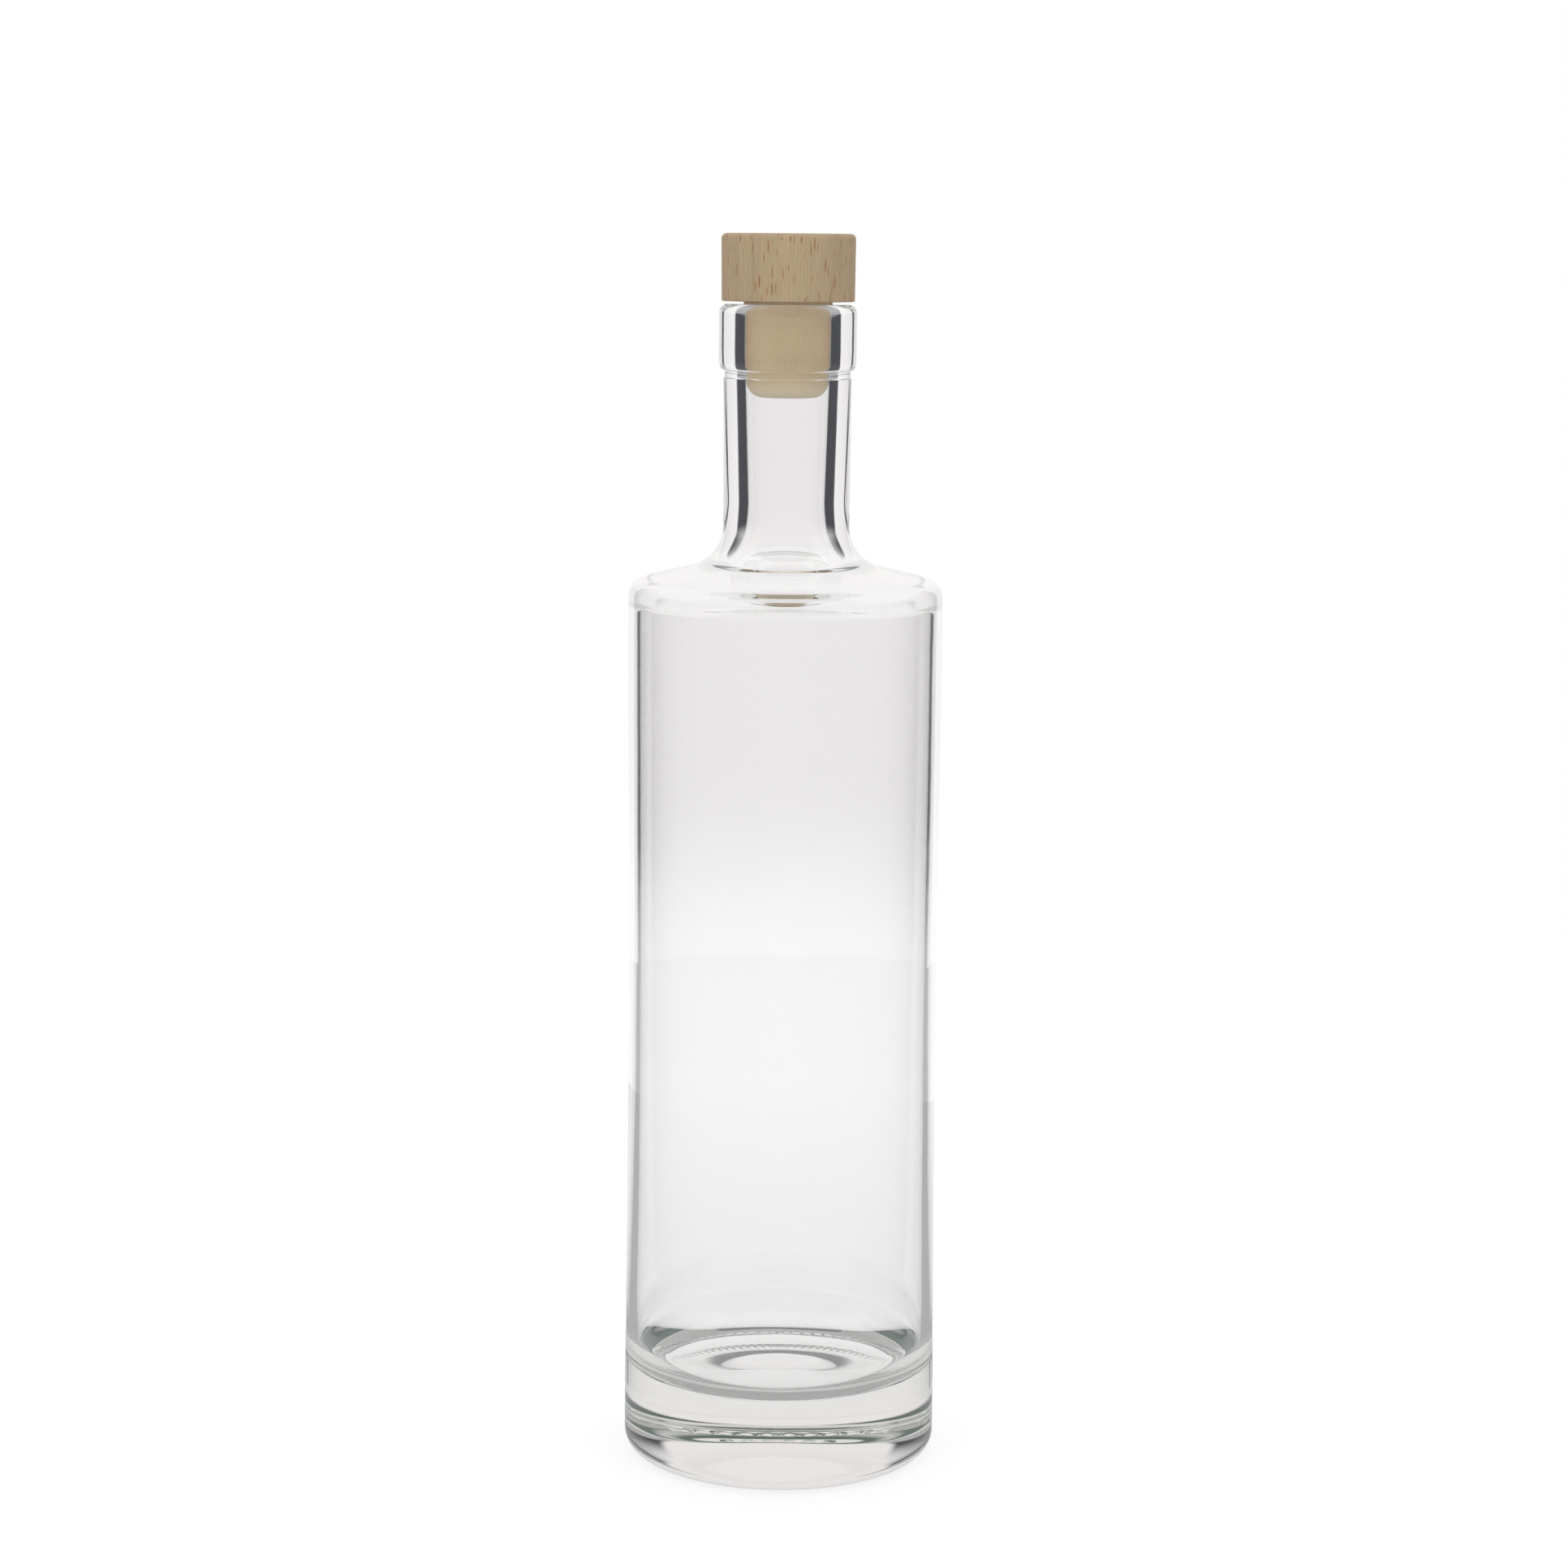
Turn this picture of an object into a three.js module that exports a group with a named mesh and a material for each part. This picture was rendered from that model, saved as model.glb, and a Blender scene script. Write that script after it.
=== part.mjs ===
// A half-litre spirit bottle in clear glass with a heavy base and a bar-top finish,
// closed by a turned beech stopper on a moulded stem.
// Millimetres, +Z up, origin on the bottle's axis at the surface it stands on.
import * as THREE from "three";

// Turning detail
const roundSegments = 48;
const arcSteps = 6;
const panelSteps = 8;

// Bottle, outside
const baseRadius = 34.5;
const shoulderRadius = 34.1;
const panelSink = 0.45; // how far the label panel draws in at mid height
const heelRadius = 4.6;
const bearingWidth = 3.4; // flat ring that the bottle stands on
const puntDepth = 3.2;
const glassHeight = 254.1;
const shoulderHeight = 191.3; // top of the straight wall
const shoulderCornerRadius = 4.0;
const shoulderSlope = 13.8; // degrees below level
const neckFilletRadius = 8.9;
const neckRadius = 13.7;
const neckTopRadius = 13.8;

// Finish: the collar round the mouth, and the neck ring of the mould below it
const collarRadius = 14.85;
const collarHeight = 14.2;
const collarLowerFillet = 2.2;
const lipRoundWide = 1.8;
const lipRoundHigh = 1.9;
const neckRingRadius = 13.55;
const neckRingHeight = 1.6;
const partingStep = 0.3;

// Bottle, inside
const mouthRadius = 9.3;
const mouthRound = 0.6;
const boreStraight = 10; // parallel stretch below the lip
const boreEndRadius = 8.95;
const boreLength = 20; // stretch of the bore that takes the stem
const throatRadius = 8.3;
const throatHeight = 212;
const throatFlareWide = 8.6;
const throatFlareHigh = 16;
const wall = 2.5;
const shoulderWall = 3.3;
const innerCornerRadius = 4.4;
const floorHeight = 18.9; // glass under the inside, at the foot of its rounded edge
const floorDish = 0.6;
const innerHeelWide = 8.0;
const innerHeelHigh = 9.2;

// Stopper: wooden head and moulded stem
const headRadius = 14.4;
const headFootRadius = 14.3;
const headHeight = 14.4;
const headGap = 0.6; // daylight between the lip and the head
const headTopRound = 1.1;
const headBottomRound = 0.35;
const stemClearance = 0.08; // to the bore, all round
const stemFlangeRadius = 9.55;
const stemLength = 20.5; // below the head
const stemEndRadius = 5.6;
const stemEndHeight = 4.3;
const spigotRadius = 5.0;
const spigotLength = 7.0;
const spigotClearance = 0.08;
const socketEndGap = 0.3;
const spigotChamfer = 0.6;

const radians = THREE.MathUtils.degToRad;

// Points along an elliptical arc about (r, z), from one angle to another, ends included.
function arc(r, z, wide, high, fromDegrees, toDegrees, steps = arcSteps) {
  return Array.from({ length: steps + 1 }, (_, i) => {
    const a = radians(fromDegrees + ((toDegrees - fromDegrees) * i) / steps);
    return new THREE.Vector2(r + wide * Math.cos(a), z + high * Math.sin(a));
  });
}

const point = (r, z) => new THREE.Vector2(r, z);

// Turns an outline, given from the axis and back to it, into a closed solid about Z.
function turned(outline) {
  return new THREE.LatheGeometry(outline, roundSegments).rotateX(Math.PI / 2);
}

// Radius of the body's outer wall: a straight taper with a shallow waist for the label.
function bodyRadiusAt(z) {
  const u = (z - heelRadius) / (shoulderHeight - heelRadius);
  const taper = THREE.MathUtils.lerp(baseRadius, shoulderRadius, u);
  return taper - panelSink * Math.sin(Math.PI * u) ** 2;
}

// The shoulder is a cone between two arcs. This gives where it meets each of them.
function shoulderCone() {
  const slope = radians(shoulderSlope);
  const outer = point(
    shoulderRadius - shoulderCornerRadius * (1 - Math.sin(slope)),
    shoulderHeight + shoulderCornerRadius * Math.cos(slope),
  );
  const filletCentreRadius = neckRadius + neckFilletRadius;
  const innerRadius = filletCentreRadius - neckFilletRadius * Math.sin(slope);
  const inner = point(innerRadius, outer.y + (outer.x - innerRadius) * Math.tan(slope));
  const filletCentre = point(filletCentreRadius, inner.y + neckFilletRadius * Math.cos(slope));
  return { outer, inner, filletCentre };
}

// Height of the cone's line, carried on past its ends, at a radius.
function coneHeightAt(r) {
  const { outer } = shoulderCone();
  return outer.y + (outer.x - r) * Math.tan(radians(shoulderSlope));
}

const puntRadius = baseRadius - heelRadius - bearingWidth;

// The push-up under the base swells smoothly to its middle and runs out level at the bearing ring.
function puntOutline(steps = 8) {
  return Array.from({ length: steps + 1 }, (_, i) => {
    const r = (puntRadius * i) / steps;
    return point(r, (puntDepth * (1 + Math.cos((Math.PI * r) / puntRadius))) / 2);
  });
}

function bodyOutline() {
  return Array.from({ length: panelSteps - 1 }, (_, i) => {
    const z = heelRadius + ((shoulderHeight - heelRadius) * (i + 1)) / panelSteps;
    return point(bodyRadiusAt(z), z);
  });
}

const collarFoot = glassHeight - collarHeight;
const partingHeight = collarFoot - neckRingHeight;

function outerOutline() {
  const { filletCentre } = shoulderCone();
  const cornerR = shoulderRadius - shoulderCornerRadius;
  const heelR = baseRadius - heelRadius;
  const collarOverhang = collarRadius - neckRingRadius;
  return [
    ...puntOutline(),
    ...arc(heelR, heelRadius, heelRadius, heelRadius, -90, 0),
    ...bodyOutline(),
    ...arc(cornerR, shoulderHeight, shoulderCornerRadius, shoulderCornerRadius, 0, 90 - shoulderSlope),
    ...arc(filletCentre.x, filletCentre.y, neckFilletRadius, neckFilletRadius, 270 - shoulderSlope, 180),
    point(neckTopRadius, partingHeight),
    point(neckRingRadius, partingHeight + partingStep),
    ...arc(neckRingRadius, collarFoot + collarLowerFillet, collarOverhang, collarLowerFillet, -90, 0),
    ...arc(collarRadius - lipRoundWide, glassHeight - lipRoundHigh, lipRoundWide, lipRoundHigh, 0, 90),
  ];
}

const boreFoot = glassHeight - boreLength;

// Radius of the bore where the stem sits: parallel below the lip, then narrowing evenly.
function boreRadiusAt(z) {
  const share = (z - boreFoot) / (boreLength - boreStraight);
  return THREE.MathUtils.lerp(boreEndRadius, mouthRadius, Math.min(1, share));
}

// The flare below the throat swings out until it runs along the shoulder's own slope.
function throatFlare() {
  const centreR = throatRadius + throatFlareWide;
  const slopeOnEllipse = Math.atan2(
    throatFlareWide * Math.tan(radians(shoulderSlope)),
    throatFlareHigh,
  );
  const endDegrees = 270 - THREE.MathUtils.radToDeg(slopeOnEllipse);
  return arc(centreR, throatHeight, throatFlareWide, throatFlareHigh, 180, endDegrees);
}

function innerOutline() {
  const slope = radians(shoulderSlope);
  const cornerR = shoulderRadius - wall - innerCornerRadius;
  const cornerTop = cornerR + innerCornerRadius * Math.sin(slope);
  const cornerZ = coneHeightAt(cornerTop) - shoulderWall - innerCornerRadius * Math.cos(slope);
  const heelTop = floorHeight + innerHeelHigh;
  const innerWallFoot = bodyRadiusAt(heelTop) - wall;
  const side = Array.from({ length: panelSteps - 1 }, (_, i) => {
    const z = cornerZ + ((heelTop - cornerZ) * (i + 1)) / panelSteps;
    return point(bodyRadiusAt(z) - wall, z);
  });
  return [
    ...arc(mouthRadius + mouthRound, glassHeight - mouthRound, mouthRound, mouthRound, 90, 180, 4),
    point(mouthRadius, glassHeight - boreStraight),
    point(boreEndRadius, boreFoot),
    ...throatFlare(),
    ...arc(cornerR, cornerZ, innerCornerRadius, innerCornerRadius, 90 - shoulderSlope, 0),
    ...side,
    ...arc(innerWallFoot - innerHeelWide, heelTop, innerHeelWide, innerHeelHigh, 0, -90),
    point(0, floorHeight - floorDish),
  ];
}

const headFoot = glassHeight + headGap;
const headTop = headFoot + headHeight;
const socketRadius = spigotRadius + spigotClearance;
const socketTop = headFoot + spigotLength + socketEndGap;

// The wooden head is turned from one blank, with a blind socket for the stem's spigot.
function stopperHeadOutline() {
  return [
    point(0, socketTop),
    point(socketRadius, socketTop),
    point(socketRadius, headFoot),
    ...arc(headFootRadius - headBottomRound, headFoot + headBottomRound, headBottomRound, headBottomRound, -90, 0, 3),
    ...arc(headRadius - headTopRound, headTop - headTopRound, headTopRound, headTopRound, 0, 90),
    point(0, headTop),
  ];
}

// The stem follows the bore, swells above the lip and ends in a rounded nose.
function stopperStemOutline() {
  const stemFoot = headFoot - stemLength;
  const noseTop = stemFoot + stemEndHeight;
  const noseRadius = boreRadiusAt(noseTop) - stemClearance;
  const gripTop = glassHeight - mouthRound / 4;
  return [
    point(0, stemFoot),
    ...arc(stemEndRadius, noseTop, noseRadius - stemEndRadius, stemEndHeight, -90, 0),
    point(mouthRadius - stemClearance, glassHeight - boreStraight),
    point(mouthRadius - stemClearance, gripTop),
    point(stemFlangeRadius, glassHeight),
    point(stemFlangeRadius, headFoot),
    point(spigotRadius, headFoot),
    point(spigotRadius, headFoot + spigotLength - spigotChamfer),
    point(spigotRadius - spigotChamfer, headFoot + spigotLength),
    point(0, headFoot + spigotLength),
  ];
}

function named(name, geometry, material) {
  const mesh = new THREE.Mesh(geometry, material);
  mesh.name = name;
  return mesh;
}

const glass = new THREE.MeshStandardMaterial({
  color: 0xeef2f0,
  roughness: 0.03,
  metalness: 0,
  transparent: true,
  opacity: 0.35,
});
const beech = new THREE.MeshStandardMaterial({ color: 0xc4a77d, roughness: 0.7, metalness: 0 });
const stemPolymer = new THREE.MeshStandardMaterial({ color: 0xcbb491, roughness: 0.55, metalness: 0 });

const stopper = new THREE.Group();
stopper.add(
  named("stopper_head", turned(stopperHeadOutline()), beech),
  named("stopper_stem", turned(stopperStemOutline()), stemPolymer),
);

const bottleWithStopper = new THREE.Group();
bottleWithStopper.add(
  named("bottle", turned([...outerOutline(), ...innerOutline()]), glass),
  stopper,
);

export default bottleWithStopper;
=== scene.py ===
# Clear glass spirit bottle with a beech stopper. Metres, +Z up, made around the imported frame.
import math

import bmesh
import bpy
from mathutils import Matrix, Vector


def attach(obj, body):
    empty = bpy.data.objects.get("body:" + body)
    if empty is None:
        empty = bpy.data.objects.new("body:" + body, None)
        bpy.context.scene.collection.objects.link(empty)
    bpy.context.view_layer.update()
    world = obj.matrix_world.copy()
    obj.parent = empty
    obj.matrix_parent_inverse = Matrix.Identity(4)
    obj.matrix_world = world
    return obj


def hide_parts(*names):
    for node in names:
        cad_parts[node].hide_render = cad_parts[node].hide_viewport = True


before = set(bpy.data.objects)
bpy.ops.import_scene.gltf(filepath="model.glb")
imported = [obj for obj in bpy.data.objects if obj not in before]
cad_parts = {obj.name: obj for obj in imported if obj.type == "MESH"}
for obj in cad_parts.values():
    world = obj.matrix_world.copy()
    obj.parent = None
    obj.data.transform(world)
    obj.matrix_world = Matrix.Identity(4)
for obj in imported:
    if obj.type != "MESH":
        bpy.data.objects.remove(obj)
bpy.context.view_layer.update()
print("frame loaded", sorted(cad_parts))

mm = 0.001
scene = bpy.context.scene
scene.view_settings.view_transform = "Standard"


# Camera, first of all

viewpoint = {
    "distance": 0.76926,  # in front of the bottle's axis
    "height": 0.2665,
    "tilt": 8.611,  # degrees down from level
    "roll": 0.507,
    "lens": 81.62,
    "sensor": 36.0,
    "nearest": 0.01,
    "farthest": 30.0,
}


def placeCamera(look):
    data = bpy.data.cameras.new("photo_camera")
    data.lens = look["lens"]
    data.sensor_width = look["sensor"]
    data.dof.use_dof = False
    data.clip_start = look["nearest"]
    data.clip_end = look["farthest"]
    camera = bpy.data.objects.new("photo_camera", data)
    scene.collection.objects.link(camera)
    tilt = Matrix.Rotation(math.radians(90 - look["tilt"]), 4, "X")
    roll = Matrix.Rotation(math.radians(look["roll"]), 4, "Z")
    camera.matrix_world = Matrix.Translation((0, -look["distance"], look["height"])) @ tilt @ roll
    scene.camera = camera


placeCamera(viewpoint)
print("camera placed")


# Node helpers

def newMaterial(name):
    material = bpy.data.materials.new(name)
    material.use_nodes = True
    material.node_tree.nodes.clear()
    return material, material.node_tree


def joinNodes(tree, source, target):
    tree.links.new(source, target)


def addNode(tree, kind, **settings):
    node = tree.nodes.new(kind)
    for key, value in settings.items():
        setattr(node, key, value)
    return node


def setInputs(node, **values):  # an underscore stands for a space in the input's name
    for key, value in values.items():
        node.inputs[key.replace("_", " ")].default_value = value


def feed(tree, value, socket):  # with a colour, a number or another node's output
    if isinstance(value, tuple):
        socket.default_value = (*value, 1)
    elif isinstance(value, (int, float)):
        socket.default_value = value
    else:
        joinNodes(tree, value, socket)


def mathNode(tree, operation, *values):
    node = addNode(tree, "ShaderNodeMath", operation=operation)
    for value, socket in zip(values, node.inputs):
        feed(tree, value, socket)
    return node.outputs[0]


def product(tree, result, *others):
    for other in others:
        result = mathNode(tree, "MULTIPLY", result, other)
    return result


def total(tree, result, *others):
    for other in others:
        result = mathNode(tree, "ADD", result, other)
    return result


def fade(tree, value, start, end, first, last, kind="SMOOTHSTEP"):  # first up to start, last from end on
    node = addNode(tree, "ShaderNodeMapRange", interpolation_type=kind)
    joinNodes(tree, value, node.inputs["Value"])
    setInputs(node, From_Min=start, From_Max=end, To_Min=first, To_Max=last)
    return node.outputs["Result"]


def colorRamp(tree, factor, stops):
    node = tree.nodes.new("ShaderNodeValToRGB")
    ramp = node.color_ramp
    while len(ramp.elements) < len(stops):
        ramp.elements.new(0.5)
    for element, (position, color) in zip(ramp.elements, stops):
        element.position = position
        element.color = (*color, 1)
    joinNodes(tree, factor, node.inputs["Fac"])
    return node.outputs["Color"]


def mixColor(tree, factor, first, second, blend="MIX"):
    node = addNode(tree, "ShaderNodeMix", data_type="RGBA", blend_type=blend)
    for index, value in ((0, factor), (6, first), (7, second)):  # the sockets that mix colours
        feed(tree, value, node.inputs[index])
    return node.outputs[2]


def splitPlace(tree, place):
    node = tree.nodes.new("ShaderNodeSeparateXYZ")
    joinNodes(tree, place, node.inputs[0])
    return node.outputs["X"], node.outputs["Y"], node.outputs["Z"]


def ownPlace(tree):  # where a point lies on the piece itself
    return tree.nodes.new("ShaderNodeTexCoord").outputs["Object"]


def stretched(tree, place, sizes):  # one unit of the result is so many metres along each axis
    node = tree.nodes.new("ShaderNodeMapping")
    node.inputs["Scale"].default_value = tuple(1 / size for size in sizes)
    joinNodes(tree, place, node.inputs["Vector"])
    return node.outputs[0]


def noise(tree, place, **settings):
    node = tree.nodes.new("ShaderNodeTexNoise")
    setInputs(node, **settings)
    joinNodes(tree, place, node.inputs["Vector"])
    return node.outputs["Fac"]


def addBump(tree, shader, height, strength, distance):
    bump = tree.nodes.new("ShaderNodeBump")
    setInputs(bump, Strength=strength, Distance=distance)
    joinNodes(tree, height, bump.inputs["Height"])
    joinNodes(tree, bump.outputs[0], shader.inputs["Normal"])


def showSurface(tree, surface):
    output = tree.nodes.new("ShaderNodeOutputMaterial")
    joinNodes(tree, surface, output.inputs["Surface"])
    return output


def grey(value):
    return (value, value, value)


# Light: a pale backdrop and table, soft lamps, and a darker room beside the backdrop

studio = {
    "ambient": 0.84,
    "backdropHalfWidth": 34.0,  # degrees each side of straight behind the bottle
    "backdropEdge": 3.0,
    "backdropThroughGlass": (0.97, 0.953, 0.951),
    "backdropFoot": 1.035,  # where the backdrop curves forward into the table
    "footFrom": -8.2,  # degrees above level, as are the room's foot and the ceiling
    "footTo": -10.8,
    "room": (0.042, 0.043, 0.052),  # dark, beside the backdrop
    "roomFoot": (0.43, 0.43, 0.44),  # low in the room, near the table's edge
    "roomFootFrom": -9.4,
    "roomFootTo": -11.5,
    "ceiling": 0.93,
    "ceilingInFront": (0.08, 0.095, 0.09),  # over the camera
    "ceilingFrom": 14.0,
    "ceilingTo": 36.0,
    "frontFrom": 95.0,  # degrees round from straight behind the bottle
    "frontTo": 125.0,
    "strayLight": (0.88, 0.88, 0.88),  # what comes out of the glass after many reflections
    "strayLightInFront": (0.17, 0.22, 0.2),
}

tableTop = {
    "radius": 0.56,
    "sides": 128,
    "color": 0.43,
    "grainColor": 0.4257,
    "grainScale": 900.0,
    "glow": 0.3,  # on whatever faces down
    "glowOnCamera": 0.6,
    "glowInGlassWithPaintedShadow": (0.445, 0.58),  # near the bottle and far from it, lower near it as a painted shadow of the bottle
    "near": 0.05,
    "far": 0.35,
    "paintedLightUnderBottle": 0.14,  # painted light on the shadowed table under the base, faded out from the base on
    "baseNear": 0.03,
    "baseFar": 0.09,
}

lamps = {
    "key_lamp": {"place": (-0.7, -1.0, 0.75), "size": 0.7, "power": 3.6},
    "fill_lamp": {"place": (0.9, -0.9, 0.5), "size": 0.8, "power": 2.0},
    "top_lamp": {"place": (0, 0.25, 1.2), "size": 0.8, "power": 1.8},
}

middle = (0, 0, 0.15)  # of the bottle, where the lamps point

# Light Path counts a ray's bounces in whole numbers, so each limit lies between two of them
anyBounce = 0.5
manyBounces = 2.5


def heightFade(tree, up, low, high, below, above):  # low and high are degrees above level
    return fade(tree, up, math.sin(math.radians(low)), math.sin(math.radians(high)), below, above)


def aroundBottle(tree, place, light):  # share of backdrop there, angle from behind the bottle, height
    x, y, up = splitPlace(tree, place)
    aside = mathNode(tree, "ABSOLUTE", mathNode(tree, "ARCTAN2", x, y))
    halfWidth = math.radians(light["backdropHalfWidth"])
    edge = math.radians(light["backdropEdge"])
    share = fade(tree, aside, halfWidth - edge, halfWidth + edge, 1.0, 0.0)
    return share, aside, up


def studioThroughGlass(tree, light, path):  # by direction, and by how often the ray was reflected
    direction = tree.nodes.new("ShaderNodeTexCoord").outputs["Generated"]
    backdrop, aside, up = aroundBottle(tree, direction, light)
    foot = heightFade(tree, up, light["footTo"], light["footFrom"], 1.0, 0.0)
    pale = mixColor(tree, foot, light["backdropThroughGlass"], grey(light["backdropFoot"]))
    roomFoot = heightFade(tree, up, light["roomFootTo"], light["roomFootFrom"], 1.0, 0.0)
    beside = mixColor(tree, roomFoot, light["room"], light["roomFoot"])
    frontFrom = math.radians(light["frontFrom"])
    front = fade(tree, aside, frontFrom, math.radians(light["frontTo"]), 0.0, 1.0)
    overhead = mixColor(tree, front, grey(light["ceiling"]), light["ceilingInFront"])
    ceiling = heightFade(tree, up, light["ceilingFrom"], light["ceilingTo"], 0.0, 1.0)
    mirrored = mixColor(tree, ceiling, mixColor(tree, backdrop, beside, pale), overhead)
    stray = mixColor(tree, front, light["strayLight"], light["strayLightInFront"])
    often = mathNode(tree, "GREATER_THAN", path["Glossy Depth"], manyBounces)
    mirrored = mixColor(tree, often, mirrored, stray)
    bounced = mathNode(tree, "GREATER_THAN", path["Glossy Depth"], anyBounce)
    return mixColor(tree, bounced, pale, mirrored)


def buildWorld(light):
    world = bpy.data.worlds.new("studio")
    world.use_nodes = True
    tree = world.node_tree
    tree.nodes.clear()
    path = tree.nodes.new("ShaderNodeLightPath").outputs
    shown = mixColor(tree, path["Is Camera Ray"], studioThroughGlass(tree, light, path), grey(1.0))
    seen = mathNode(tree, "MAXIMUM", path["Is Camera Ray"], path["Is Glossy Ray"])
    seen = mathNode(tree, "MAXIMUM", seen, path["Is Transmission Ray"])
    direct = mathNode(tree, "LESS_THAN", path["Diffuse Depth"], anyBounce)
    color = mixColor(tree, product(tree, seen, direct), grey(light["ambient"]), shown)
    background = tree.nodes.new("ShaderNodeBackground")
    joinNodes(tree, color, background.inputs["Color"])
    output = tree.nodes.new("ShaderNodeOutputWorld")
    joinNodes(tree, background.outputs[0], output.inputs["Surface"])
    scene.world = world


def tableGlow(tree, place, look, light):  # its own strength for the camera, the glass and the bottle, with a painted shadow near the bottle and painted light under its base
    path = tree.nodes.new("ShaderNodeLightPath").outputs
    diffused = mathNode(tree, "GREATER_THAN", path["Diffuse Depth"], anyBounce)
    direct = mathNode(tree, "SUBTRACT", 1, diffused)
    fromMiddle = addNode(tree, "ShaderNodeVectorMath", operation="LENGTH")
    joinNodes(tree, place, fromMiddle.inputs[0])
    distance = fromMiddle.outputs["Value"]
    glowNear, glowFar = look["glowInGlassWithPaintedShadow"]
    # painted shadow: the table seen through the glass is darker near the bottle
    far = fade(tree, distance, look["near"], look["far"], glowNear, glowFar, "LINEAR")
    # painted light: the table under the base glows brighter where the glass sees it
    under = fade(tree, distance, look["baseNear"], look["baseFar"], look["paintedLightUnderBottle"], 0.0)
    behind = aroundBottle(tree, place, light)[0]
    straight = mathNode(tree, "LESS_THAN", path["Glossy Depth"], anyBounce)
    lit = product(tree, far, mathNode(tree, "MAXIMUM", behind, straight))
    throughGlass = mathNode(tree, "MAXIMUM", path["Is Glossy Ray"], path["Is Transmission Ray"])
    inGlass = product(tree, throughGlass, direct, total(tree, lit, under))
    onCamera = product(tree, path["Is Camera Ray"], look["glowOnCamera"])
    onBottle = product(tree, diffused, look["glow"])
    return total(tree, onCamera, inGlass, onBottle)


def tableMaterial(look, light):
    material, tree = newMaterial("pale_table")
    place = ownPlace(tree)
    grain = noise(tree, place, Scale=look["grainScale"], Detail=2.0)
    diffuse = tree.nodes.new("ShaderNodeBsdfDiffuse")
    tone = colorRamp(tree, grain, [(0.3, grey(look["grainColor"])), (0.7, grey(look["color"]))])
    joinNodes(tree, tone, diffuse.inputs["Color"])
    glow = tree.nodes.new("ShaderNodeEmission")
    joinNodes(tree, tableGlow(tree, place, look, light), glow.inputs["Strength"])
    both = tree.nodes.new("ShaderNodeAddShader")
    joinNodes(tree, diffuse.outputs[0], both.inputs[0])
    joinNodes(tree, glow.outputs[0], both.inputs[1])
    showSurface(tree, both.outputs[0])
    return material


def buildTable(look, light):
    mesh = bpy.data.meshes.new("table")
    shape = bmesh.new()
    bmesh.ops.create_circle(shape, cap_ends=True, segments=look["sides"], radius=look["radius"])
    shape.to_mesh(mesh)
    shape.free()
    table = bpy.data.objects.new("table", mesh)
    mesh.materials.append(tableMaterial(look, light))
    scene.collection.objects.link(table)


def softLamp(name, look):
    data = bpy.data.lights.new(name, "AREA")
    data.shape = "DISK"
    data.size = look["size"]
    data.energy = look["power"]
    lamp = bpy.data.objects.new(name, data)
    lamp.location = look["place"]
    lamp.rotation_mode = "QUATERNION"
    lamp.rotation_quaternion = (Vector(middle) - Vector(look["place"])).to_track_quat("-Z", "Y")
    lamp.visible_camera = False
    lamp.visible_glossy = False
    lamp.visible_transmission = False
    scene.collection.objects.link(lamp)


buildWorld(studio)
buildTable(tableTop, studio)
for lampName, lampLook in lamps.items():
    softLamp(lampName, lampLook)
print("studio built")


# Outlines: points (radius, height) in millimetres, from the axis round and back to it

def arc(radius, height, wide, high, fromDegrees, toDegrees, steps):
    points = []
    for i in range(steps + 1):
        angle = math.radians(fromDegrees + (toDegrees - fromDegrees) * i / steps)
        points.append((radius + wide * math.cos(angle), height + high * math.sin(angle)))
    return points


def between(start, end, steps):  # evenly spaced points, without the two ends
    shares = [i / steps for i in range(1, steps)]
    return [tuple(a + (b - a) * share for a, b in zip(start, end)) for share in shares]


# Turning: one Geometry Nodes tree sweeps an outline round Z and adds what repeats round it

latheSizes = {
    "Points": 10,
    "Segments": 96,
    "Seam Height": 0.0,
    "Seam Width": 0.0004,
    "Seam Reach": 0.0,
    "Knurl Count": 96,
    "Knurl Depth": 0.0,
    "Knurl Inner": 0.0,
    "Knurl Outer": 0.0,
    "Knurl Top": 0.002,  # nothing above this height is knurled
    "Ripple": 0.0,
    "Ripple Size": 0.02,
    "Ripple Core": 0.005,  # the ripple dies out from this radius to the axis
}

mergeReach = 0.000002
sharpDegrees = 40


def newSocket(tree, name, kind, way="INPUT"):
    return tree.interface.new_socket(name=name, in_out=way, socket_type=kind)


def latheSockets(tree):  # each input's identifier by its name
    sockets = {
        "Outline": newSocket(tree, "Outline", "NodeSocketGeometry"),
        "Material": newSocket(tree, "Material", "NodeSocketMaterial"),
    }
    for name, size in latheSizes.items():
        kind = "NodeSocketInt" if isinstance(size, int) else "NodeSocketFloat"
        sockets[name] = newSocket(tree, name, kind)
        sockets[name].default_value = size
    newSocket(tree, "Piece", "NodeSocketGeometry", "OUTPUT")
    return {name: socket.identifier for name, socket in sockets.items()}


def gridOfRows(tree, given):  # a column for each segment, and a row for each point of the outline
    grid = tree.nodes.new("GeometryNodeMeshGrid")
    joinNodes(tree, total(tree, given["Segments"], 1), grid.inputs["Vertices X"])
    joinNodes(tree, given["Points"], grid.inputs["Vertices Y"])
    index = tree.nodes.new("GeometryNodeInputIndex").outputs[0]
    row = mathNode(tree, "MODULO", index, given["Points"])
    column = mathNode(tree, "FLOOR", mathNode(tree, "DIVIDE", index, given["Points"]))
    turn = mathNode(tree, "DIVIDE", product(tree, column, 2 * math.pi), given["Segments"])
    return grid.outputs["Mesh"], row, turn


def outlineAt(tree, given, row):
    sample = addNode(tree, "GeometryNodeSampleIndex", data_type="FLOAT_VECTOR", domain="POINT")
    joinNodes(tree, given["Outline"], sample.inputs["Geometry"])
    joinNodes(tree, tree.nodes.new("GeometryNodeInputPosition").outputs[0], sample.inputs["Value"])
    joinNodes(tree, row, sample.inputs["Index"])
    radius, _, height = splitPlace(tree, sample.outputs["Value"])
    return radius, height


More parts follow.
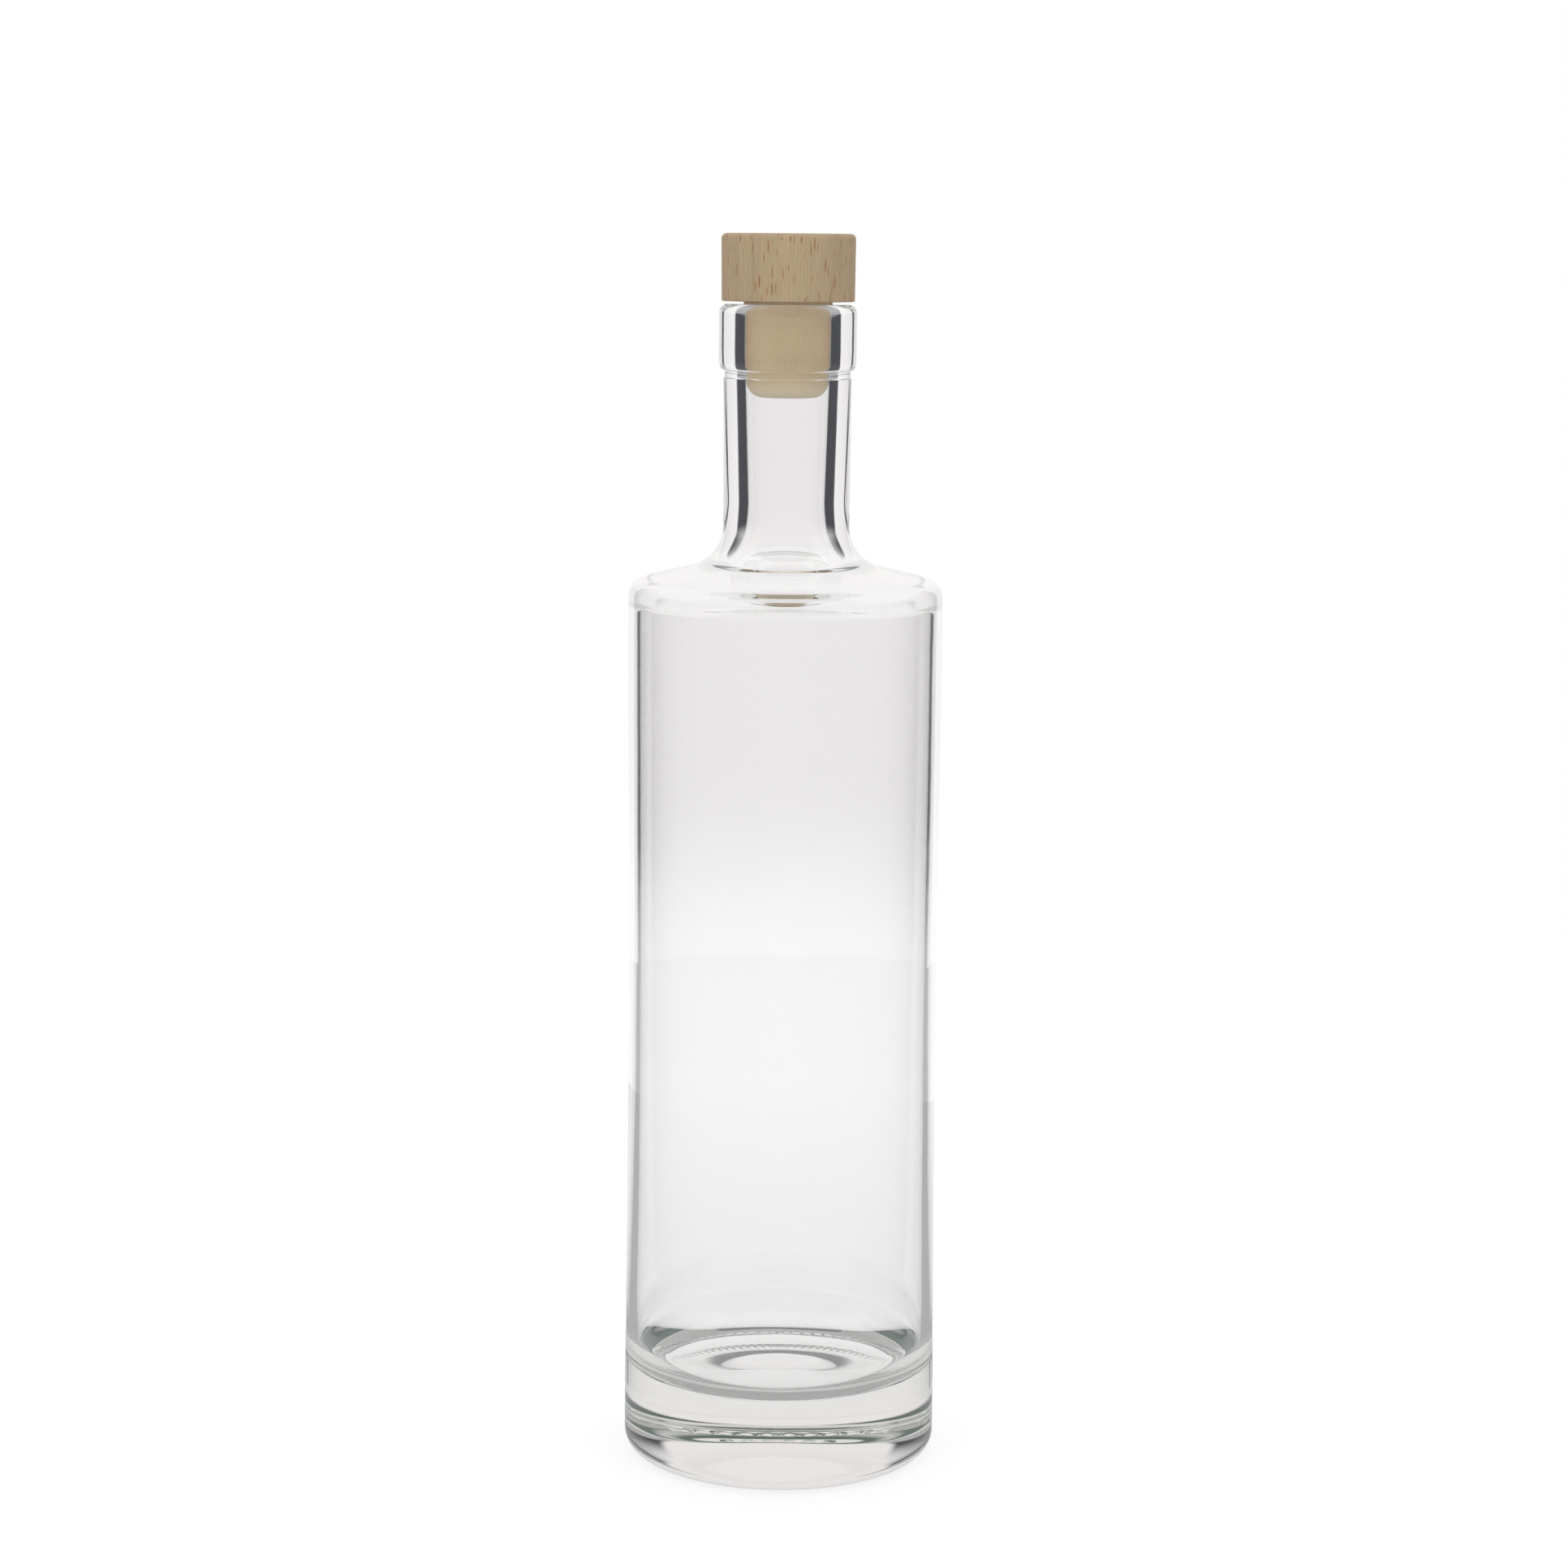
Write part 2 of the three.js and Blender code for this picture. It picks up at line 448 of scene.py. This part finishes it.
def onCircle(tree, side, depth, radius, height):
    place = tree.nodes.new("ShaderNodeCombineXYZ")
    joinNodes(tree, product(tree, side, radius), place.inputs["X"])
    joinNodes(tree, product(tree, depth, radius), place.inputs["Y"])
    joinNodes(tree, height, place.inputs["Z"])
    return place.outputs[0]


def seamRidge(tree, given, side, radius, outside):  # at the front and the back, fading to both sides
    fromSeam = product(tree, mathNode(tree, "ABSOLUTE", side), radius)
    spread = mathNode(tree, "DIVIDE", fromSeam, given["Seam Width"])
    ridge = mathNode(tree, "EXPONENT", product(tree, spread, spread, -1))
    return product(tree, ridge, outside, given["Seam Height"])


def knurlBars(tree, given, turn, radius, height):  # pressed into the ring that the piece stands on
    wave = mathNode(tree, "COSINE", product(tree, turn, given["Knurl Count"]))
    wave = product(tree, mathNode(tree, "SUBTRACT", 1, wave), 0.5)
    middleRadius = product(tree, total(tree, given["Knurl Inner"], given["Knurl Outer"]), 0.5)
    width = mathNode(tree, "SUBTRACT", given["Knurl Outer"], given["Knurl Inner"])
    fromMiddle = mathNode(tree, "SUBTRACT", radius, middleRadius)
    offRing = mathNode(tree, "DIVIDE", fromMiddle, product(tree, width, 0.5))
    inRing = mathNode(tree, "SUBTRACT", 1, mathNode(tree, "POWER", offRing, 4))
    low = mathNode(tree, "LESS_THAN", height, given["Knurl Top"])
    return product(tree, wave, mathNode(tree, "MAXIMUM", inRing, 0), low, given["Knurl Depth"])


def faintRipple(tree, given, place, radius, inside):  # of a surface that no mould touched
    waves = tree.nodes.new("ShaderNodeTexNoise")
    waves.inputs["Detail"].default_value = 1.0
    joinNodes(tree, place, waves.inputs["Vector"])
    joinNodes(tree, mathNode(tree, "DIVIDE", 1, given["Ripple Size"]), waves.inputs["Scale"])
    offAxis = mathNode(tree, "MINIMUM", mathNode(tree, "DIVIDE", radius, given["Ripple Core"]), 1)
    swing = mathNode(tree, "SUBTRACT", waves.outputs["Fac"], 0.5)
    return product(tree, swing, given["Ripple"], inside, offAxis)


def closedPiece(tree, given, mesh, place):  # the seam and the poles are merged
    moved = tree.nodes.new("GeometryNodeSetPosition")
    joinNodes(tree, mesh, moved.inputs["Geometry"])
    joinNodes(tree, place, moved.inputs["Position"])
    merged = tree.nodes.new("GeometryNodeMergeByDistance")
    joinNodes(tree, moved.outputs[0], merged.inputs["Geometry"])
    merged.inputs["Distance"].default_value = mergeReach
    realized = tree.nodes.new("GeometryNodeRealizeInstances")
    joinNodes(tree, merged.outputs[0], realized.inputs[0])
    painted = tree.nodes.new("GeometryNodeSetMaterial")
    joinNodes(tree, realized.outputs[0], painted.inputs["Geometry"])
    joinNodes(tree, given["Material"], painted.inputs["Material"])
    return painted.outputs[0]


def latheTree():
    tree = bpy.data.node_groups.new("turn_on_lathe", "GeometryNodeTree")
    identifiers = latheSockets(tree)
    given = tree.nodes.new("NodeGroupInput").outputs
    mesh, row, turn = gridOfRows(tree, given)
    radius, height = outlineAt(tree, given, row)
    side = mathNode(tree, "COSINE", turn)
    depth = mathNode(tree, "SINE", turn)
    outside = mathNode(tree, "LESS_THAN", row, given["Seam Reach"])
    inside = mathNode(tree, "SUBTRACT", 1, outside)
    even = onCircle(tree, side, depth, radius, height)
    ridge = seamRidge(tree, given, side, radius, outside)
    ripple = faintRipple(tree, given, even, radius, inside)
    pressed = knurlBars(tree, given, turn, radius, height)
    place = onCircle(tree, side, depth, total(tree, radius, ridge, ripple), total(tree, height, pressed))
    output = tree.nodes.new("NodeGroupOutput")
    joinNodes(tree, closedPiece(tree, given, mesh, place), output.inputs[0])
    return tree, identifiers


lathe, latheInputs = latheTree()


def outlineMesh(name, outline):
    mesh = bpy.data.meshes.new(name + "_outline")
    points = [(radius * mm, 0, height * mm) for radius, height in outline]
    mesh.from_pydata(points, [(i, i + 1) for i in range(len(points) - 1)], [])
    return mesh


def faceOutwards(mesh):
    shape = bmesh.new()
    shape.from_mesh(mesh)
    bmesh.ops.recalc_face_normals(shape, faces=shape.faces)
    if shape.calc_volume(signed=True) < 0:
        bmesh.ops.reverse_faces(shape, faces=shape.faces)
    for face in shape.faces:
        face.smooth = True
    for edge in shape.edges:
        edge.smooth = edge.calc_face_angle(0) < math.radians(sharpDegrees)
    openEdges = [edge for edge in shape.edges if not edge.is_manifold]
    print(mesh.name, "faces", len(shape.faces), "open edges", len(openEdges))
    shape.to_mesh(mesh)
    shape.free()


def turnPiece(name, outline, material, sizes):
    source = bpy.data.objects.new(name + "_source", outlineMesh(name, outline))
    scene.collection.objects.link(source)
    turning = source.modifiers.new("turning", "NODES")
    turning.node_group = lathe
    turning[latheInputs["Points"]] = len(outline)
    turning[latheInputs["Material"]] = material
    for key, value in sizes.items():
        turning[latheInputs[key]] = value
    evaluated = source.evaluated_get(bpy.context.evaluated_depsgraph_get())
    mesh = bpy.data.meshes.new_from_object(evaluated)
    mesh.name = name
    bpy.data.objects.remove(source)
    faceOutwards(mesh)
    piece = bpy.data.objects.new(name, mesh)
    scene.collection.objects.link(piece)
    return piece


# The glass: one blown piece

bottle = {
    "baseRadius": 34.5,
    "shoulderRadius": 34.1,
    "panelSink": 0.45,
    "heelRadius": 4.6,
    "bearingWidth": 3.4,
    "puntDepth": 3.2,
    "height": 254.1,
    "shoulderHeight": 191.3,
    "cornerRadius": 4.0,
    "slope": 13.8,
    "filletRadius": 8.9,
    "neckRadius": 13.7,
    "neckTopRadius": 13.8,
    "collarRadius": 14.85,
    "collarHeight": 14.2,
    "collarLowerRound": 2.2,
    "lipRoundWide": 1.8,
    "lipRoundHigh": 1.9,
    "neckRingRadius": 13.55,
    "neckRingHeight": 1.6,
    "partingStep": 0.3,
    "partingRound": 0.06,
    "mouthRadius": 9.3,
    "mouthRound": 0.6,
    "boreStraight": 10.0,
    "boreEndRadius": 8.95,
    "boreLength": 20.0,
    "throatRadius": 8.3,
    "throatHeight": 212.0,
    "flareWide": 8.6,
    "flareHigh": 16.0,
    "wall": 2.5,
    "shoulderWall": 3.3,
    "innerCornerRadius": 4.4,
    "floorHeight": 18.9,
    "floorDish": 0.6,
    "innerHeelWide": 8.0,
    "innerHeelHigh": 9.2,
    "steps": {  # how finely each stretch of the outline is drawn
        "punt": 24,
        "bearing": 6,
        "heel": 12,
        "wall": 24,
        "corner": 12,
        "shoulder": 4,
        "fillet": 14,
        "neck": 6,
        "collarRound": 10,
        "collar": 4,
        "lip": 10,
        "mouth": 6,
        "bore": 4,
        "throat": 4,
        "flare": 18,
        "innerShoulder": 4,
        "innerCorner": 8,
        "innerHeel": 14,
        "floor": 10,
    },
    "lathe": {  # metres
        "Segments": 384,
        "Seam Height": 0.00004,
        "Seam Width": 0.00035,
        "Knurl Count": 96,
        "Knurl Depth": 0.0003,
        "Knurl Inner": 0.0266,
        "Knurl Outer": 0.0298,
        "Ripple": 0.00012,
        "Ripple Size": 0.03,
    },
    "look": {
        "ior": 1.52,
        "waveScale": 120.0,
        "waveStrength": 0.05,
        "waveHeight": 0.0002,
        "shadow": (0.93, 0.94, 0.935),  # what it lets through of light that passes unbent
        "tint": (0.57, 0.53, 0.5),
        "tintDensity": 5.0,
    },
}


def bodyRadius(glass, height):
    share = (height - glass["heelRadius"]) / (glass["shoulderHeight"] - glass["heelRadius"])
    taper = glass["baseRadius"] + (glass["shoulderRadius"] - glass["baseRadius"]) * share
    return taper - glass["panelSink"] * math.sin(math.pi * share) ** 2


def wallLine(glass, start, end, inset, steps):  # between two heights, without the two ends
    heights = [start + (end - start) * i / steps for i in range(1, steps)]
    return [(bodyRadius(glass, height) - inset, height) for height in heights]


def shoulderHeightAt(glass, radius):  # on the slope, which starts at the shoulder's outer corner
    slope = math.radians(glass["slope"])
    edgeRadius = glass["shoulderRadius"] - glass["cornerRadius"] * (1 - math.sin(slope))
    edgeHeight = glass["shoulderHeight"] + glass["cornerRadius"] * math.cos(slope)
    return edgeHeight + (edgeRadius - radius) * math.tan(slope)


def footLine(glass, steps):  # push-up, bearing ring and heel
    heel = glass["heelRadius"]
    heelCentre = glass["baseRadius"] - heel
    puntRadius = heelCentre - glass["bearingWidth"]
    points = []
    for i in range(steps["punt"] + 1):
        radius = puntRadius * i / steps["punt"]
        swell = (1 + math.cos(math.pi * radius / puntRadius)) / 2
        points.append((radius, glass["puntDepth"] * swell))
    points += between((puntRadius, 0), (heelCentre, 0), steps["bearing"])
    return points + arc(heelCentre, heel, heel, heel, -90, 0, steps["heel"])


def shoulderLine(glass, steps):  # from the top of the wall to the foot of the neck
    corner = glass["cornerRadius"]
    cornerCentre = glass["shoulderRadius"] - corner
    turned = 90 - glass["slope"]
    points = arc(cornerCentre, glass["shoulderHeight"], corner, corner, 0, turned, steps["corner"])
    slope = math.radians(glass["slope"])
    fillet = glass["filletRadius"]
    filletCentre = glass["neckRadius"] + fillet
    slopeEnd = filletCentre - fillet * math.sin(slope)
    slopeTop = shoulderHeightAt(glass, slopeEnd)
    points += between(points[-1], (slopeEnd, slopeTop), steps["shoulder"])
    filletHeight = slopeTop + fillet * math.cos(slope)
    filletStart = 180 + turned
    return points + arc(filletCentre, filletHeight, fillet, fillet, filletStart, 180, steps["fillet"])


def finishLine(glass, neckFoot, steps):  # neck, neck ring, collar and lip
    collarFoot = glass["height"] - glass["collarHeight"]
    parting = collarFoot - glass["neckRingHeight"]
    ring = glass["neckRingRadius"]
    step = glass["partingStep"]
    neckTop = (glass["neckTopRadius"], parting)
    points = between(neckFoot, neckTop, steps["neck"]) + [neckTop]
    points += [(ring + glass["partingRound"], parting + step / 2), (ring, parting + step)]
    overhang = glass["collarRadius"] - ring
    lower = glass["collarLowerRound"]
    points += arc(ring, collarFoot + lower, overhang, lower, -90, 0, steps["collarRound"])
    wide = glass["lipRoundWide"]
    high = glass["lipRoundHigh"]
    lipFoot = glass["height"] - high
    points += between(points[-1], (glass["collarRadius"], lipFoot), steps["collar"])
    return points + arc(glass["collarRadius"] - wide, lipFoot, wide, high, 0, 90, steps["lip"])


def outerGlass(glass, steps):
    points = footLine(glass, steps)
    points += wallLine(glass, glass["heelRadius"], glass["shoulderHeight"], 0, steps["wall"])
    points += shoulderLine(glass, steps)
    return points + finishLine(glass, points[-1], steps)


def mouthLine(glass, steps):  # lip, bore, throat and the flare below it
    mouth = glass["mouthRound"]
    roundCentre = glass["mouthRadius"] + mouth
    points = arc(roundCentre, glass["height"] - mouth, mouth, mouth, 90, 180, steps["mouth"])
    boreEnd = (glass["boreEndRadius"], glass["height"] - glass["boreLength"])
    straightEnd = (glass["mouthRadius"], glass["height"] - glass["boreStraight"])
    points += [straightEnd] + between(straightEnd, boreEnd, steps["bore"]) + [boreEnd]
    throat = glass["throatRadius"]
    throatHeight = glass["throatHeight"]
    points += between(boreEnd, (throat, throatHeight), steps["throat"])
    wide = glass["flareWide"]
    high = glass["flareHigh"]
    flareEnd = 270 - math.degrees(math.atan2(wide * math.tan(math.radians(glass["slope"])), high))
    return points + arc(throat + wide, throatHeight, wide, high, 180, flareEnd, steps["flare"])


def innerGlass(glass, steps):
    points = mouthLine(glass, steps)
    slope = math.radians(glass["slope"])
    corner = glass["innerCornerRadius"]
    cornerCentre = glass["shoulderRadius"] - glass["wall"] - corner
    underSlope = shoulderHeightAt(glass, cornerCentre + corner * math.sin(slope)) - glass["shoulderWall"]
    cornerHeight = underSlope - corner * math.cos(slope)
    turned = 90 - glass["slope"]
    cornerArc = arc(cornerCentre, cornerHeight, corner, corner, turned, 0, steps["innerCorner"])
    points += between(points[-1], cornerArc[0], steps["innerShoulder"]) + cornerArc
    heelTop = glass["floorHeight"] + glass["innerHeelHigh"]
    points += wallLine(glass, cornerHeight, heelTop, glass["wall"], steps["wall"])
    wide = glass["innerHeelWide"]
    heelCentre = bodyRadius(glass, heelTop) - glass["wall"] - wide
    points += arc(heelCentre, heelTop, wide, glass["innerHeelHigh"], 0, -90, steps["innerHeel"])
    for i in range(1, steps["floor"] + 1):
        share = 1 - i / steps["floor"]
        points.append((heelCentre * share, glass["floorHeight"] - glass["floorDish"] * (1 - share ** 2)))
    return points


def glassMaterial(look):
    material, tree = newMaterial("clear_flint_glass")
    glass = tree.nodes.new("ShaderNodeBsdfPrincipled")
    setInputs(glass, Base_Color=(1, 1, 1, 1), Roughness=0.0, IOR=look["ior"], Transmission_Weight=1.0)
    wave = noise(tree, ownPlace(tree), Scale=look["waveScale"], Detail=1.0, Roughness=0.4)
    addBump(tree, glass, wave, look["waveStrength"], look["waveHeight"])
    clear = tree.nodes.new("ShaderNodeBsdfTransparent")
    clear.inputs["Color"].default_value = (*look["shadow"], 1)
    path = tree.nodes.new("ShaderNodeLightPath").outputs
    trapped = mathNode(tree, "GREATER_THAN", path["Glossy Depth"], manyBounces)  # in the wall
    surface = tree.nodes.new("ShaderNodeMixShader")
    joinNodes(tree, mathNode(tree, "MAXIMUM", path["Is Shadow Ray"], trapped), surface.inputs[0])
    joinNodes(tree, glass.outputs[0], surface.inputs[1])
    joinNodes(tree, clear.outputs[0], surface.inputs[2])
    tint = tree.nodes.new("ShaderNodeVolumeAbsorption")
    setInputs(tint, Color=(*look["tint"], 1), Density=look["tintDensity"])
    joinNodes(tree, tint.outputs[0], showSurface(tree, surface.outputs[0]).inputs["Volume"])
    return material


def makeBottle(glass):
    outer = outerGlass(glass, glass["steps"])
    inner = innerGlass(glass, glass["steps"])
    sizes = {**glass["lathe"], "Seam Reach": len(outer) - 0.5}  # the seams end with the outer surface
    piece = turnPiece("blown_glass", outer + inner, glassMaterial(glass["look"]), sizes)
    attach(piece, "bottle")
    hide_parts("bottle")


makeBottle(bottle)
print("glass blown")


# The stopper: a beech head on a moulded stem

beechHead = {
    "radius": 14.4,
    "footRadius": 14.3,
    "height": 14.4,
    "gap": 0.6,  # between it and the lip
    "topRound": 1.15,
    "bottomRound": 0.35,
    "socketClearance": 0.08,
    "socketGap": 0.3,
    "steps": {"foot": 4, "footRound": 5, "side": 8, "topRound": 10, "top": 8},
    "lathe": {"Segments": 192},
    "look": {
        "roughness": 0.62,
        "ior": 1.45,
        "offCentre": (0.011, 0.023, 0.0),  # how far from the trunk's middle the blank was cut
        "turned": 24.0,  # degrees round the lathe
        "ringSize": (0.0035, 0.03, 0.12),
        "vesselSize": (0.00035, 0.00035, 0.006),
        "ground": [(0.3, (0.37, 0.273, 0.171)), (0.5, (0.432, 0.325, 0.198)), (0.7, (0.458, 0.345, 0.207))],
        "vesselTone": [(0.35, (0.86, 0.84, 0.82)), (0.6, (1, 1, 1))],
        "vesselShare": 0.8,
        "reliefStrength": 0.25,
        "reliefHeight": 0.0002,
    },
    "flecks": {  # the rays of the wood: one may lie in each cell, and lots vary them
        "cellSize": (0.00072, 0.0006, 0.0048),  # thin across the rings, tall up the trunk
        "reach": 0.17,
        "reachVaries": 0.2,
        "edge": (0.7, 1.1),
        "depth": 0.45,
        "depthVaries": 0.5,
        "bareShare": 0.3,  # of the cells at the head's middle
        "bareSlope": -26.0,  # per metre to the right
        "color": (0.29, 0.13, 0.05),
        "sunk": 0.3,
    },
}

mouldedStem = {
    "clearance": 0.08,
    "flangeRadius": 9.55,
    "length": 20.5,
    "endRadius": 5.6,
    "endHeight": 4.3,
    "spigotRadius": 5.0,
    "spigotLength": 7.0,
    "spigotChamfer": 0.6,
    "steps": {"end": 5, "nose": 14, "taper": 5},
    "lathe": {"Segments": 192, "Seam Height": 0.00003, "Seam Width": 0.0003, "Seam Reach": 1000.0},
    "look": {
        "roughness": 0.5,
        "ior": 1.48,
        "cloudScale": 160.0,
        "cloudTone": [(0.35, (0.7, 0.535, 0.34)), (0.65, (0.75, 0.585, 0.38))],
        "speckScale": 2600.0,
        "speckTone": [(0.35, (0.93, 0.92, 0.9)), (0.6, (1, 1, 1))],
        "noseFrom": 0.2343,  # painted light on the rounded end, paler towards the bottom, by height
        "noseTo": 0.2395,
        "nosePaintedLightShare": 0.85,
        "nosePaintedLight": (0.93, 0.8, 0.62),
        "reliefStrength": 0.2,
        "reliefHeight": 0.0001,
    },
}


def boreRadius(glass, height):
    above = height - glass["height"] + glass["boreLength"]
    share = min(1, above / (glass["boreLength"] - glass["boreStraight"]))
    return glass["boreEndRadius"] + (glass["mouthRadius"] - glass["boreEndRadius"]) * share


def headOutline(glass, wood, plug):
    steps = wood["steps"]
    foot = glass["height"] + wood["gap"]
    top = foot + wood["height"]
    socket = plug["spigotRadius"] + wood["socketClearance"]
    socketTop = foot + plug["spigotLength"] + wood["socketGap"]
    low = wood["bottomRound"]
    high = wood["topRound"]
    footEdge = wood["footRadius"] - low
    points = [(0, socketTop), (socket, socketTop), (socket, foot)]
    points += between((socket, foot), (footEdge, foot), steps["foot"])
    points += arc(footEdge, foot + low, low, low, -90, 0, steps["footRound"])
    points += between(points[-1], (wood["radius"], top - high), steps["side"])
    points += arc(wood["radius"] - high, top - high, high, high, 0, 90, steps["topRound"])
    return points + between(points[-1], (0, top), steps["top"]) + [(0, top)]


def stemOutline(glass, wood, plug):
    steps = plug["steps"]
    headFoot = glass["height"] + wood["gap"]
    foot = headFoot - plug["length"]
    noseTop = foot + plug["endHeight"]
    end = plug["endRadius"]
    noseWide = boreRadius(glass, noseTop) - plug["clearance"] - end
    grip = glass["mouthRadius"] - plug["clearance"]
    straightEnd = (grip, glass["height"] - glass["boreStraight"])
    gripTop = glass["height"] - glass["mouthRound"] / 4
    spigot = plug["spigotRadius"]
    spigotTop = headFoot + plug["spigotLength"]
    chamfer = plug["spigotChamfer"]
    points = [(0, foot)] + between((0, foot), (end, foot), steps["end"])
    points += arc(end, noseTop, noseWide, plug["endHeight"], -90, 0, steps["nose"])
    points += between(points[-1], straightEnd, steps["taper"]) + [straightEnd, (grip, gripTop)]
    points += [(plug["flangeRadius"], glass["height"]), (plug["flangeRadius"], headFoot)]
    points += [(spigot, headFoot), (spigot, spigotTop - chamfer)]
    return points + [(spigot - chamfer, spigotTop), (0, spigotTop)]


def fleckMarks(tree, place, blank, look):
    cells = addNode(tree, "ShaderNodeTexVoronoi", feature="F1")
    setInputs(cells, Scale=1.0, Randomness=1.0)
    joinNodes(tree, stretched(tree, blank, look["cellSize"]), cells.inputs["Vector"])
    lots = tree.nodes.new("ShaderNodeSeparateColor")
    joinNodes(tree, cells.outputs["Color"], lots.inputs[0])
    reachLot, shownLot, depthLot = lots.outputs
    reach = total(tree, product(tree, reachLot, look["reachVaries"]), look["reach"])
    fromMiddle = mathNode(tree, "DIVIDE", cells.outputs["Distance"], reach)
    start, end = look["edge"]
    fleck = fade(tree, fromMiddle, start, end, 1.0, 0.0)
    across = splitPlace(tree, place)[0]
    bare = total(tree, product(tree, across, look["bareSlope"]), look["bareShare"])
    shown = mathNode(tree, "GREATER_THAN", shownLot, bare)
    depth = total(tree, product(tree, depthLot, look["depthVaries"]), look["depth"])
    return product(tree, fleck, shown, depth)


def beechMaterial(look, flecks):
    material, tree = newMaterial("turned_beech")
    wood = tree.nodes.new("ShaderNodeBsdfPrincipled")
    setInputs(wood, Roughness=look["roughness"], IOR=look["ior"])
    place = ownPlace(tree)
    turning = tree.nodes.new("ShaderNodeMapping")
    setInputs(turning, Location=look["offCentre"], Rotation=(0.0, 0.0, math.radians(look["turned"])))
    joinNodes(tree, place, turning.inputs["Vector"])
    blank = turning.outputs[0]
    mark = fleckMarks(tree, place, blank, flecks)
    ringPlace = stretched(tree, blank, look["ringSize"])
    rings = noise(tree, ringPlace, Scale=1.0, Detail=3.0, Roughness=0.55)
    vesselPlace = stretched(tree, blank, look["vesselSize"])
    vessels = noise(tree, vesselPlace, Scale=1.0, Detail=3.0, Roughness=0.6)
    ground = colorRamp(tree, rings, look["ground"])
    streaks = colorRamp(tree, vessels, look["vesselTone"])
    ground = mixColor(tree, look["vesselShare"], ground, streaks, "MULTIPLY")
    joinNodes(tree, mixColor(tree, mark, ground, flecks["color"]), wood.inputs["Base Color"])
    relief = mathNode(tree, "SUBTRACT", vessels, product(tree, mark, flecks["sunk"]))
    addBump(tree, wood, relief, look["reliefStrength"], look["reliefHeight"])
    showSurface(tree, wood.outputs[0])
    return material


def stemMaterial(look):
    material, tree = newMaterial("moulded_stem")
    polymer = tree.nodes.new("ShaderNodeBsdfPrincipled")
    setInputs(polymer, Roughness=look["roughness"], IOR=look["ior"])
    place = ownPlace(tree)
    clouds = noise(tree, place, Scale=look["cloudScale"], Detail=3.0, Roughness=0.5)
    specks = noise(tree, place, Scale=look["speckScale"], Detail=2.0)
    cloudy = colorRamp(tree, clouds, look["cloudTone"])
    color = mixColor(tree, 1.0, cloudy, colorRamp(tree, specks, look["speckTone"]), "MULTIPLY")
    height = splitPlace(tree, place)[2]
    # painted light: the rounded end is made paler, as if lit from below
    nose = fade(tree, height, look["noseFrom"], look["noseTo"], look["nosePaintedLightShare"], 0.0)
    joinNodes(tree, mixColor(tree, nose, color, look["nosePaintedLight"]), polymer.inputs["Base Color"])
    addBump(tree, polymer, specks, look["reliefStrength"], look["reliefHeight"])
    showSurface(tree, polymer.outputs[0])
    return material


def makeStopper(glass, wood, plug):
    headPoints = headOutline(glass, wood, plug)
    beech = beechMaterial(wood["look"], wood["flecks"])
    head = turnPiece("turned_head", headPoints, beech, wood["lathe"])
    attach(head, "stopper")
    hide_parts("stopper_head")
    stemPoints = stemOutline(glass, wood, plug)
    stem = turnPiece("moulded_stem", stemPoints, stemMaterial(plug["look"]), plug["lathe"])
    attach(stem, "stopper")
    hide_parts("stopper_stem")


makeStopper(bottle, beechHead, mouldedStem)
print("stopper turned")
